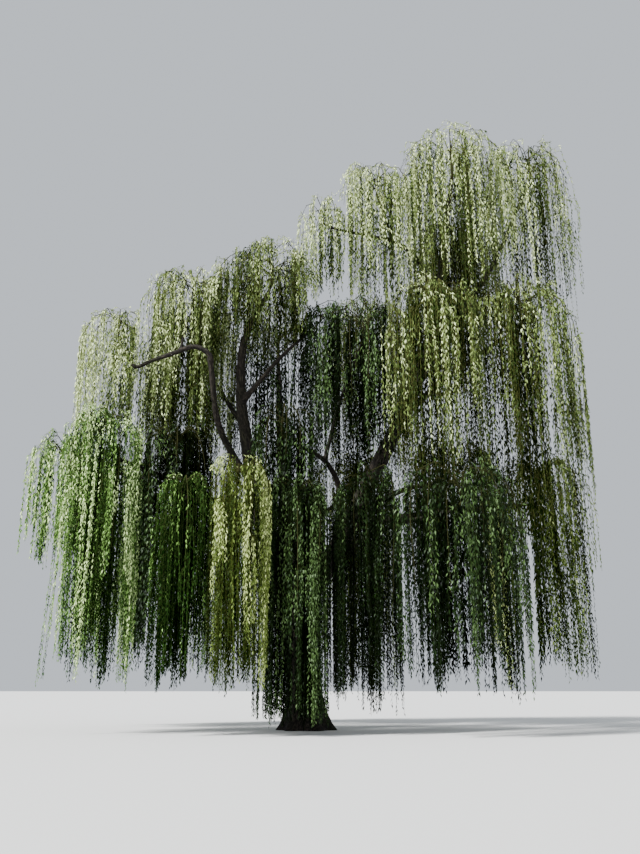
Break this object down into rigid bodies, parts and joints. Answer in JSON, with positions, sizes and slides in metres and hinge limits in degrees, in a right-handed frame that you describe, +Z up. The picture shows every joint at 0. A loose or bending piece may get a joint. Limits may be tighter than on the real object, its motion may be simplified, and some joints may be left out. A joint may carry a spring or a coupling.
{
  "type": "weeping willow tree",
  "caption": "Old weeping willow in full leaf: a short flared trunk forks into rising limbs under domes of foliage that hang to the ground as curtains.",
  "frame": {"origin": "middle of the flat cut under the trunk, at ground level", "axes": "+Z up; +X to the right and +Y away from the viewer as the picture shows the tree"},
  "size_m": [22.1637, 14.5737, 24.8277],
  "materials": {
    "bark": "rough grey-brown furrowed bark",
    "leaves_light": "soft yellow-green leaves",
    "leaves_fresh": "soft mid-green leaves",
    "leaves_olive": "soft olive-green leaves",
    "leaves_deep": "soft deep-green leaves"
  },
  "bodies": {
    "root": {"trunk": "bark", "left_limb": "bark", "right_limb": "bark", "back_limb": "bark", "low_left_limb": "bark", "left_arm_riser": "bark", "left_arm": "bark", "middle_limb": "bark", "top_left_arm": "bark", "left_outer_curtain_bough": "bark", "left_inner_curtain_bough": "bark", "front_column_bough": "bark", "front_left_curtain_bough": "bark", "front_right_curtain_bough": "bark", "middle_front_curtain_bough": "bark", "middle_right_dome_bough": "bark", "right_dome_bough": "bark", "right_outer_dome_bough": "bark", "far_right_dome_bough": "bark", "top_left_dome_bough": "bark", "upper_left_shoulder_bough": "bark", "upper_left_right_side_bough": "bark", "low_right_front_curtain_bough": "bark", "low_right_curtain_bough": "bark", "low_back_left_curtain_bough": "bark", "back_left_dome_bough": "bark", "low_back_curtain_bough": "bark", "low_back_right_curtain_bough": "bark", "back_right_dome_bough": "bark", "low_right_back_curtain_bough": "bark", "back_top_dome_bough": "bark", "upper_left_dome": "leaves_light", "top_dome": "leaves_light", "back_dome": "leaves_deep", "left_curtain": "leaves_fresh", "left_outer_curtain": "leaves_fresh", "left_inner_curtain": "leaves_deep", "front_column": "leaves_olive", "front_left_curtain": "leaves_fresh", "front_right_curtain": "leaves_deep", "centre_curtain": "leaves_deep", "middle_front_curtain": "leaves_deep", "middle_right_dome": "leaves_deep", "right_dome": "leaves_light", "right_outer_dome": "leaves_light", "far_right_dome": "leaves_light", "top_left_arm_dome": "leaves_light", "top_left_dome": "leaves_light", "upper_left_tip": "leaves_light", "upper_left_shoulder": "leaves_light", "upper_left_right_side": "leaves_deep", "low_right_front_curtain": "leaves_deep", "low_right_curtain": "leaves_olive", "low_back_left_curtain": "leaves_fresh", "back_left_dome": "leaves_light", "low_back_curtain": "leaves_fresh", "low_back_right_curtain": "leaves_olive", "back_right_dome": "leaves_light", "low_right_back_curtain": "leaves_deep", "back_top_dome": "leaves_light"}
  },
  "joints": []
}
